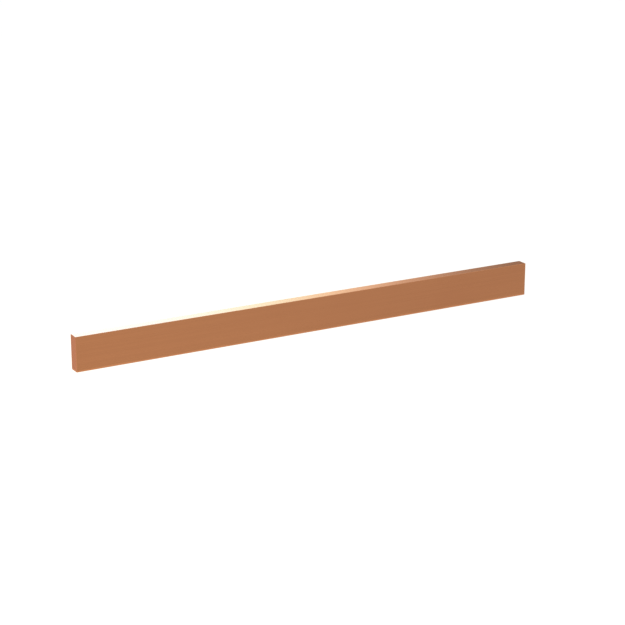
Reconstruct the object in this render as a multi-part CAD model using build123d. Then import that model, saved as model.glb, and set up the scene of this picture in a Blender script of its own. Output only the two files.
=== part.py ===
from build123d import *
import os

# A copper busbar: one length of drawn rectangular bar, cut off square at both ends.
# It stands on a narrow face, with its length along X, its thickness along Y and its width up Z.
# The origin is the middle of the narrow face that it stands on.

# Driving dimensions, mm
bar_length = 445.0  # from one cut end to the other
bar_width = 30.0  # the wide faces, which stand upright
bar_thickness = 10.0  # the narrow faces, one of them on the ground
edge_radius = 0.3  # left by the die along the four long edges
end_bevel = 0.2  # filed round each cut end to take its burr off


def drawn_section():
    """The section that leaves the die, with its lower narrow side on Z = 0."""
    with BuildSketch(Plane.YZ) as section:
        with Locations((0, bar_width / 2)):
            RectangleRounded(bar_thickness, bar_width, edge_radius)
    return section.sketch


def busbar():
    """The section drawn out to its length about the origin, then both cut ends bevelled."""
    with BuildPart() as bar:
        extrude(drawn_section(), amount=bar_length / 2, both=True)
        faces_along_bar = bar.faces().sort_by(Axis.X)
        cut_ends = faces_along_bar[:1] + faces_along_bar[-1:]
        chamfer(cut_ends.edges(), end_bevel)
    return bar.part


os.makedirs("parts", exist_ok=True)
export_step(busbar(), "parts/busbar.step")
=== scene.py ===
import math

import bpy
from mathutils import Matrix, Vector


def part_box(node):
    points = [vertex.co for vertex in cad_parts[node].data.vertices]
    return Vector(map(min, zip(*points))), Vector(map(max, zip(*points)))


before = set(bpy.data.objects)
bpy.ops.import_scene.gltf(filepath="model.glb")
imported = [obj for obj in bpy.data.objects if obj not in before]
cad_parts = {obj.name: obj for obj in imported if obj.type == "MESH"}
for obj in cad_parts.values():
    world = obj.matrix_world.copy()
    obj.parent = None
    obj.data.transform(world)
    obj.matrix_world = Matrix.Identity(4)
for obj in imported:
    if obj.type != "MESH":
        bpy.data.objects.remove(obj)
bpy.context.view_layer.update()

# The busbar: one solid length of bare copper bar, 30 mm wide and 10 mm thick.
# It was drawn cold through a steel die, which leaves smooth faces and crisp long edges.
# It was then sawn to length, and its two cut ends were filed lightly to take off the burr.
mm = 0.001
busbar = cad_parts["busbar"]
low_corner, high_corner = (Vector(corner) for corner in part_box("busbar"))
busbar_size = high_corner - low_corner
busbar_middle = (low_corner + high_corner) / 2

drawn_colour = "AB7451"
browned_colour = "A8714F"
groove_colour = "8A5A3E"
# Fresh-cut copper is redder. This colour is also brightened with a painted reflection of the lamp on the
# cut ends.
sawn_and_reflection_colour = "B16E51"
# Worn-bright copper. The same colour paints a highlight along the edges and brightens the foot against its
# shade.
burnish_and_highlight_colour = "C4855D"
# At a low angle copper mirrors nearly white, but keeps a little of its warmth.
low_angle_tint = "F9E8DB"

# Nearly all of a noise's values lie between these two. Under the third, a line counts as a groove.
noise_low = 0.3
noise_high = 0.7
groove_top = 0.6

def linear(hex_colour):
    """The linear colour, with its alpha, of an sRGB hex value."""
    channels = [int(hex_colour[i:i + 2], 16) / 255 for i in (0, 2, 4)]
    return [c / 12.92 if c <= 0.04045 else ((c + 0.055) / 1.055) ** 2.4 for c in channels] + [1.0]

def add_node(tree, kind, inputs, **settings):
    """Adds a node with its settings, and sets each input named to a value or links it to a socket."""
    node = tree.nodes.new(kind)
    for name, value in settings.items():
        setattr(node, name, value)
    for name, source in inputs.items():
        if isinstance(source, bpy.types.NodeSocket):
            tree.links.new(source, node.inputs[name])
        else:
            node.inputs[name].default_value = source
    return node

def distances_in(tree, place):
    """How far a point of the bar's surface lies in from the nearer cut end, and from the nearest edge."""
    from_middle = add_node(tree, "ShaderNodeVectorMath", {
        0: place, 1: busbar_middle,
    }, operation="SUBTRACT").outputs["Vector"]
    either_side = add_node(tree, "ShaderNodeVectorMath", {
        0: from_middle,
    }, operation="ABSOLUTE").outputs["Vector"]
    inward = add_node(tree, "ShaderNodeVectorMath", {
        0: busbar_size / 2, 1: either_side,
    }, operation="SUBTRACT").outputs["Vector"]
    from_faces = add_node(tree, "ShaderNodeSeparateXYZ", {"Vector": inward})
    from_end, from_wide_face, from_narrow_face = (from_faces.outputs[axis] for axis in "XYZ")

    # The point lies on one face, so that distance is nothing. The second smallest is to the nearest edge.
    nearer = add_node(tree, "ShaderNodeMath", {
        0: from_wide_face, 1: from_narrow_face,
    }, operation="MINIMUM").outputs["Value"]
    farther = add_node(tree, "ShaderNodeMath", {
        0: from_wide_face, 1: from_narrow_face,
    }, operation="MAXIMUM").outputs["Value"]
    end_or_farther = add_node(tree, "ShaderNodeMath", {
        0: from_end, 1: farther,
    }, operation="MINIMUM").outputs["Value"]
    from_edge = add_node(tree, "ShaderNodeMath", {
        0: nearer, 1: end_or_farther,
    }, operation="MAXIMUM").outputs["Value"]
    return from_end, from_edge

def drawn_grain(tree, place, along, across, detail):
    """Streaks along the bar, as long and as wide as given."""
    fineness_falloff = 0.55
    stretched = add_node(tree, "ShaderNodeMapping", {
        "Vector": place, "Scale": (1 / along, 1 / across, 1 / across),
    }).outputs["Vector"]
    return add_node(tree, "ShaderNodeTexNoise", {
        "Vector": stretched, "Scale": 1.0, "Detail": detail, "Roughness": fineness_falloff,
    }).outputs["Fac"]

def saw_marks(tree, place):
    """The arcs that the teeth of a round blade leave on a cut end: uneven ones, over a faint even set."""
    blade_radius = 160 * mm
    blade_tilt = math.radians(30)
    # Real marks are nearer 0.4 mm apart, too fine to show, so they are drawn as coarse as they need to be.
    tooth_pitch = 0.9 * mm
    even_share = 0.1
    fineness_falloff = 0.6
    to_blade = Vector((0, -math.sin(blade_tilt), math.cos(blade_tilt)))
    blade_middle = busbar_middle + blade_radius * to_blade
    # The arcs are the same on both ends, so only the place across the bar counts.
    across_bar = (0, 1, 1)
    on_end = add_node(tree, "ShaderNodeVectorMath", {
        0: place, 1: across_bar,
    }, operation="MULTIPLY").outputs["Vector"]
    from_blade = add_node(tree, "ShaderNodeVectorMath", {
        0: on_end, 1: blade_middle,
    }, operation="DISTANCE").outputs["Value"]
    teeth = add_node(tree, "ShaderNodeMath", {
        0: from_blade, 1: 1 / tooth_pitch,
    }, operation="MULTIPLY").outputs["Value"]
    uneven = add_node(tree, "ShaderNodeTexNoise", {
        "W": teeth, "Scale": 1.0, "Detail": 2.0, "Roughness": fineness_falloff,
    }, noise_dimensions="1D").outputs["Fac"]
    turns = add_node(tree, "ShaderNodeMath", {0: teeth, 1: math.tau}, operation="MULTIPLY").outputs["Value"]
    even = add_node(tree, "ShaderNodeMath", {0: turns}, operation="SINE").outputs["Value"]
    return add_node(tree, "ShaderNodeMath", {
        0: even, 1: even_share, 2: uneven,
    }, operation="MULTIPLY_ADD").outputs["Value"]

# Copper, cold drawn: a satin metal, warm and even, with fine straight lines from the die.
# It has browned a little in patches. Its sawn ends are redder, with a painted reflection of the lamp, and
# its edges are worn bright, with a painted highlight along them.
drawn_copper = bpy.data.materials.new("drawn_copper")
drawn_copper.use_nodes = True
tree = drawn_copper.node_tree
tree.nodes.clear()
place = add_node(tree, "ShaderNodeTexCoord", {}).outputs["Object"]
from_end, from_edge = distances_in(tree, place)

# Real die lines are about 0.1 mm apart, too fine to show, so they are drawn as coarse as they need to be.
die_lines = drawn_grain(tree, place, along=700 * mm, across=0.25 * mm, detail=2.0)
die_bands = drawn_grain(tree, place, along=900 * mm, across=3 * mm, detail=1.0)
browning = drawn_grain(tree, place, along=90 * mm, across=35 * mm, detail=3.0)
rub_and_highlight_noise = drawn_grain(tree, place, along=12 * mm, across=6 * mm, detail=2.0)
end_arcs = saw_marks(tree, place)

# The filed bevel is 0.2 mm deep. In the outer half of that depth the sawn finish gives way to
# the drawn one.
sawn_depth = 0.1 * mm
sawn = add_node(tree, "ShaderNodeMapRange", {
    "Value": from_end, "From Min": 0.0, "From Max": sawn_depth, "To Min": 1.0, "To Max": 0.0,
}).outputs["Result"]

# The edges are worn bright unevenly, less towards the top, and this brightening is also a painted highlight
# along them. The foot is brightened most, a little way up the sides as well, higher in some places than in
# others: partly wear from benches and racks, and partly painted brightening against the shade where the bar
# meets the table.
burnish_and_highlight_width = 0.9 * mm
foot_band_full = 0.4 * mm
foot_band_end = 1.9 * mm
foot_band_waver = 2 * mm
rub_and_highlight_at_foot = 0.6
rub_and_highlight_at_top = 0.15
least_rub_and_highlight = 0.6
by_edge = add_node(tree, "ShaderNodeMapRange", {
    "Value": from_edge, "From Min": 0.0, "From Max": burnish_and_highlight_width, "To Min": 1.0, "To Max": 0.0,
}, interpolation_type="SMOOTHSTEP").outputs["Result"]
up_the_bar = add_node(tree, "ShaderNodeSeparateXYZ", {"Vector": place}).outputs["Z"]
rub_and_highlight_by_height = add_node(tree, "ShaderNodeMapRange", {
    "Value": up_the_bar,
    "From Min": low_corner.z, "From Max": high_corner.z, "To Min": rub_and_highlight_at_foot, "To Max": rub_and_highlight_at_top,
}).outputs["Result"]
edge_rub_and_highlight = add_node(tree, "ShaderNodeMath", {
    0: by_edge, 1: rub_and_highlight_by_height,
}, operation="MULTIPLY").outputs["Value"]
wavering_height = add_node(tree, "ShaderNodeMath", {
    0: rub_and_highlight_noise, 1: foot_band_waver, 2: up_the_bar,
}, operation="MULTIPLY_ADD").outputs["Value"]
# A noise is about 0.5 on average, so the level that it wavers about is raised by half the waver.
foot_level = low_corner.z + foot_band_waver / 2
foot_rub_and_highlight = add_node(tree, "ShaderNodeMapRange", {
    "Value": wavering_height,
    "From Min": foot_level + foot_band_full, "From Max": foot_level + foot_band_end,
    "To Min": 1.0, "To Max": 0.0,
}, interpolation_type="SMOOTHSTEP").outputs["Result"]
rub_and_highlight = add_node(tree, "ShaderNodeMath", {
    0: edge_rub_and_highlight, 1: foot_rub_and_highlight,
}, operation="MAXIMUM").outputs["Value"]
rub_and_highlight_by_patch = add_node(tree, "ShaderNodeMapRange", {
    "Value": rub_and_highlight_noise, "From Min": noise_low, "From Max": noise_high, "To Min": least_rub_and_highlight, "To Max": 1.0,
}).outputs["Result"]
burnish_and_highlight = add_node(tree, "ShaderNodeMath", {
    0: rub_and_highlight, 1: rub_and_highlight_by_patch,
}, operation="MULTIPLY").outputs["Value"]

# Grooves hold a little dirt and oxide, so each pattern darkens the copper by at most its share here.
die_band_share = 0.06
die_line_share = 0.25
saw_mark_share = 0.4
browned = add_node(tree, "ShaderNodeMapRange", {
    "Value": browning, "From Min": noise_low, "From Max": noise_high, "To Min": 0.0, "To Max": 1.0,
}).outputs["Result"]
banded = add_node(tree, "ShaderNodeMapRange", {
    "Value": die_bands,
    "From Min": noise_low, "From Max": noise_high, "To Min": 0.0, "To Max": die_band_share,
}).outputs["Result"]
lined = add_node(tree, "ShaderNodeMapRange", {
    "Value": die_lines,
    "From Min": noise_low, "From Max": groove_top, "To Min": die_line_share, "To Max": 0.0,
}).outputs["Result"]
sawn_lined = add_node(tree, "ShaderNodeMapRange", {
    "Value": end_arcs,
    "From Min": noise_low, "From Max": groove_top, "To Min": saw_mark_share, "To Max": 0.0,
}).outputs["Result"]
aged_shade = add_node(tree, "ShaderNodeMixRGB", {
    "Fac": browned, "Color1": linear(drawn_colour), "Color2": linear(browned_colour),
}).outputs["Color"]
banded_shade = add_node(tree, "ShaderNodeMixRGB", {
    "Fac": banded, "Color1": aged_shade, "Color2": linear(groove_colour),
}).outputs["Color"]
drawn_shade = add_node(tree, "ShaderNodeMixRGB", {
    "Fac": lined, "Color1": banded_shade, "Color2": linear(groove_colour),
}).outputs["Color"]
# The cut ends: redder copper with the painted reflection of the lamp in it, darker in the saw marks.
sawn_and_reflection_shade = add_node(tree, "ShaderNodeMixRGB", {
    "Fac": sawn_lined, "Color1": linear(sawn_and_reflection_colour), "Color2": linear(groove_colour),
}).outputs["Color"]
face_shade = add_node(tree, "ShaderNodeMixRGB", {
    "Fac": sawn, "Color1": drawn_shade, "Color2": sawn_and_reflection_shade,
}).outputs["Color"]
# Worn-bright edges, with a painted highlight along them and painted brightening along the foot.
shade = add_node(tree, "ShaderNodeMixRGB", {
    "Fac": burnish_and_highlight, "Color1": face_shade, "Color2": linear(burnish_and_highlight_colour),
}).outputs["Color"]

# Each line is rougher at the bottom of its groove than on its crest.
die_groove_roughness = 0.31
die_crest_roughness = 0.27
saw_groove_roughness = 0.42
saw_crest_roughness = 0.34
burnished_roughness = 0.22
drawn_roughness = add_node(tree, "ShaderNodeMapRange", {
    "Value": die_lines, "From Min": noise_low, "From Max": noise_high,
    "To Min": die_groove_roughness, "To Max": die_crest_roughness,
}).outputs["Result"]
sawn_roughness = add_node(tree, "ShaderNodeMapRange", {
    "Value": end_arcs, "From Min": noise_low, "From Max": noise_high,
    "To Min": saw_groove_roughness, "To Max": saw_crest_roughness,
}).outputs["Result"]
face_roughness = add_node(tree, "ShaderNodeMix", {
    "Factor": sawn, "A": drawn_roughness, "B": sawn_roughness,
}).outputs["Result"]
roughness = add_node(tree, "ShaderNodeMix", {
    "Factor": burnish_and_highlight, "A": face_roughness, "B": burnished_roughness,
}).outputs["Result"]

die_line_depth = 0.004 * mm
saw_mark_depth = 0.015 * mm
die_relief = add_node(tree, "ShaderNodeMath", {
    0: die_lines, 1: die_line_depth,
}, operation="MULTIPLY").outputs["Value"]
saw_relief = add_node(tree, "ShaderNodeMath", {
    0: end_arcs, 1: saw_mark_depth,
}, operation="MULTIPLY").outputs["Value"]
height = add_node(tree, "ShaderNodeMix", {
    "Factor": sawn, "A": die_relief, "B": saw_relief,
}).outputs["Result"]
relief = add_node(tree, "ShaderNodeBump", {
    "Height": height, "Strength": 1.0, "Distance": 1.0,
}).outputs["Normal"]

copper = add_node(tree, "ShaderNodeBsdfPrincipled", {
    "Base Color": shade,
    "Metallic": 1.0,
    "Specular Tint": linear(low_angle_tint),
    "Roughness": roughness,
    "Normal": relief,
})
add_node(tree, "ShaderNodeOutputMaterial", {"Surface": copper.outputs["BSDF"]})
busbar.material_slots[0].material = drawn_copper

# The table: a sheet of white acrylic, matt on top and lit evenly from below.
# It gives the bar a pale floor with hardly a shadow.
table_size = 12.0
table_edge = table_size / 2
table_shade = "2C2C2C"
table_roughness = 0.9
table_glow_colour = "FFFFFF"
table_glow_strength = 0.972
table_mesh = bpy.data.meshes.new("table")
table_mesh.from_pydata([
    (-table_edge, -table_edge, 0),
    (table_edge, -table_edge, 0),
    (table_edge, table_edge, 0),
    (-table_edge, table_edge, 0),
], [], [(0, 1, 2, 3)])
table = bpy.data.objects.new("table", table_mesh)
bpy.context.scene.collection.objects.link(table)

# Acrylic, cast white and sanded: no shine, and its own even glow. Its shade is dark, because nearly all of
# its whiteness is that glow. So the bar's shadow on it hardly shows.
sanded_acrylic = bpy.data.materials.new("sanded_acrylic")
sanded_acrylic.use_nodes = True
tree = sanded_acrylic.node_tree
tree.nodes.clear()
acrylic = add_node(tree, "ShaderNodeBsdfPrincipled", {
    "Base Color": linear(table_shade),
    "Roughness": table_roughness,
    "Specular IOR Level": 0.0,
    "Emission Color": linear(table_glow_colour),
    "Emission Strength": table_glow_strength,
})
add_node(tree, "ShaderNodeOutputMaterial", {"Surface": acrylic.outputs["BSDF"]})
table_mesh.materials.append(sanded_acrylic)

# The screen: white cloth on a frame that stands behind the bar and to its right, with a cool lamp behind
# its left edge. The bar's top mirrors it, bright at the left and falling off to the right.
screen_distance = 1.5
screen_height = 1.5
screen_left, screen_right = 0.25, 2.2
screen_mesh = bpy.data.meshes.new("screen")
screen_mesh.from_pydata([
    (screen_left, screen_distance, 0),
    (screen_right, screen_distance, 0),
    (screen_right, screen_distance, screen_height),
    (screen_left, screen_distance, screen_height),
], [], [(0, 1, 2, 3)])
screen = bpy.data.objects.new("screen", screen_mesh)
bpy.context.scene.collection.objects.link(screen)
# Only the copper mirrors the screen. It can't be seen itself, and it lights and shades nothing.
screen.visible_camera = False
screen.visible_diffuse = False
screen.visible_shadow = False

# Cotton, bleached and lit through: its glow drops from lit_strength to little past the edge of the lamp's
# pool, and its colour goes from a cool white to a warm one with it.
lit_strength = 8.6
unlit_strength = 0.226
pool_edge = 0.642
pool_softness = 0.2105
bleached_cotton = bpy.data.materials.new("bleached_cotton")
bleached_cotton.use_nodes = True
tree = bleached_cotton.node_tree
tree.nodes.clear()
place = add_node(tree, "ShaderNodeTexCoord", {}).outputs["Object"]
across = add_node(tree, "ShaderNodeSeparateXYZ", {"Vector": place}).outputs["X"]
# The pool is 1 / sqrt(1 + e^(2 (across - pool_edge) / pool_softness)): full to the left of its edge,
# and to the right of it divided by e over each pool_softness.
past_edge = add_node(tree, "ShaderNodeMath", {
    0: across, 1: 2 / pool_softness, 2: -2 * pool_edge / pool_softness,
}, operation="MULTIPLY_ADD").outputs["Value"]
growth = add_node(tree, "ShaderNodeMath", {0: past_edge}, operation="EXPONENT").outputs["Value"]
fall = add_node(tree, "ShaderNodeMath", {0: growth, 1: 1.0}, operation="ADD").outputs["Value"]
pool = add_node(tree, "ShaderNodeMath", {0: fall}, operation="INVERSE_SQRT").outputs["Value"]
strength = add_node(tree, "ShaderNodeMath", {
    0: pool, 1: lit_strength, 2: unlit_strength,
}, operation="MULTIPLY_ADD").outputs["Value"]

# Each colour stands at its share of the full glow.
unlit_colour, unlit_share = "FFF5EE", 0.13
fading_colour, fading_share = "F4F8F0", 0.25
cool_colour, cool_share = "C7F9FC", 0.43
lit_colour, lit_share = "9CD0FF", 0.85
glow_colours = add_node(tree, "ShaderNodeValToRGB", {"Fac": pool})
unlit_stop, lit_stop = glow_colours.color_ramp.elements
unlit_stop.position = unlit_share
unlit_stop.color = linear(unlit_colour)
lit_stop.position = lit_share
lit_stop.color = linear(lit_colour)
glow_colours.color_ramp.elements.new(fading_share).color = linear(fading_colour)
glow_colours.color_ramp.elements.new(cool_share).color = linear(cool_colour)
glow = add_node(tree, "ShaderNodeEmission", {
    "Color": glow_colours.outputs["Color"], "Strength": strength,
}).outputs["Emission"]
add_node(tree, "ShaderNodeOutputMaterial", {"Surface": glow})
screen_mesh.materials.append(bleached_cotton)

# The room: white walls all round, evenly lit, under a ceiling that is brighter than they are.
# The rounded edge between the bar's front and its top mirrors the light from overhead.
horizon_strength = 1.0
overhead_strength = 1.5
wall_colour = "FFFFFF"
room = bpy.data.worlds.new("room")
bpy.context.scene.world = room
room.use_nodes = True
tree = room.node_tree
tree.nodes.clear()
direction = add_node(tree, "ShaderNodeTexCoord", {}).outputs["Generated"]
upward = add_node(tree, "ShaderNodeSeparateXYZ", {"Vector": direction}).outputs["Z"]
strength = add_node(tree, "ShaderNodeMapRange", {
    "Value": upward,
    "From Min": 0.0, "From Max": 1.0, "To Min": horizon_strength, "To Max": overhead_strength,
}).outputs["Result"]
walls = add_node(tree, "ShaderNodeBackground", {"Color": linear(wall_colour), "Strength": strength})
add_node(tree, "ShaderNodeOutputWorld", {"Surface": walls.outputs["Background"]})

# The lamp: a soft, warm one that hangs to the left of the bar and in front of it. It is aimed at the
# table in front of the bar's left end. Its light on the table fades to the right, and the bar mirrors
# the table but not the lamp itself.
lamp_place = Vector((-0.6, -0.3, 0.5))
lamp_target = Vector((-0.2, -0.05, 0))
lamp_size = 0.6
lamp_power = 69
lamp_colour = "FFEFAF"
soft_lamp = bpy.data.lights.new("soft_lamp", "AREA")
soft_lamp.shape = "SQUARE"
soft_lamp.size = lamp_size
soft_lamp.energy = lamp_power
soft_lamp.color = linear(lamp_colour)[:3]
lamp = bpy.data.objects.new("soft_lamp", soft_lamp)
bpy.context.scene.collection.objects.link(lamp)
lamp.visible_glossy = False
lamp.location = lamp_place
lamp.rotation_mode = "QUATERNION"
lamp.rotation_quaternion = (lamp_target - lamp_place).to_track_quat("-Z", "Y")

# The camera: a long lens, 30 degrees round to the left of the wide face and 17 degrees above it.
# It stands 1.54 m off, so the bar's far end looks a little smaller than its near one.
camera_azimuth = math.radians(-29.92)
camera_elevation = math.radians(17.03)
camera_distance = 1.540
camera_aim = Vector((-0.00347, -0.005, 0.01727))
# The lens and the sensor are in millimetres. The distance and the aim are in metres.
lens_length = 103.05
sensor_width = 36.0
towards_camera = Vector((
    math.sin(camera_azimuth) * math.cos(camera_elevation),
    -math.cos(camera_azimuth) * math.cos(camera_elevation),
    math.sin(camera_elevation),
))
lens = bpy.data.cameras.new("camera")
lens.lens = lens_length
lens.sensor_width = sensor_width
camera = bpy.data.objects.new("camera", lens)
bpy.context.scene.collection.objects.link(camera)
camera.location = camera_aim + camera_distance * towards_camera
camera.rotation_mode = "QUATERNION"
camera.rotation_quaternion = (-towards_camera).to_track_quat("-Z", "Y")
bpy.context.scene.camera = camera
bpy.context.scene.view_settings.view_transform = "Standard"
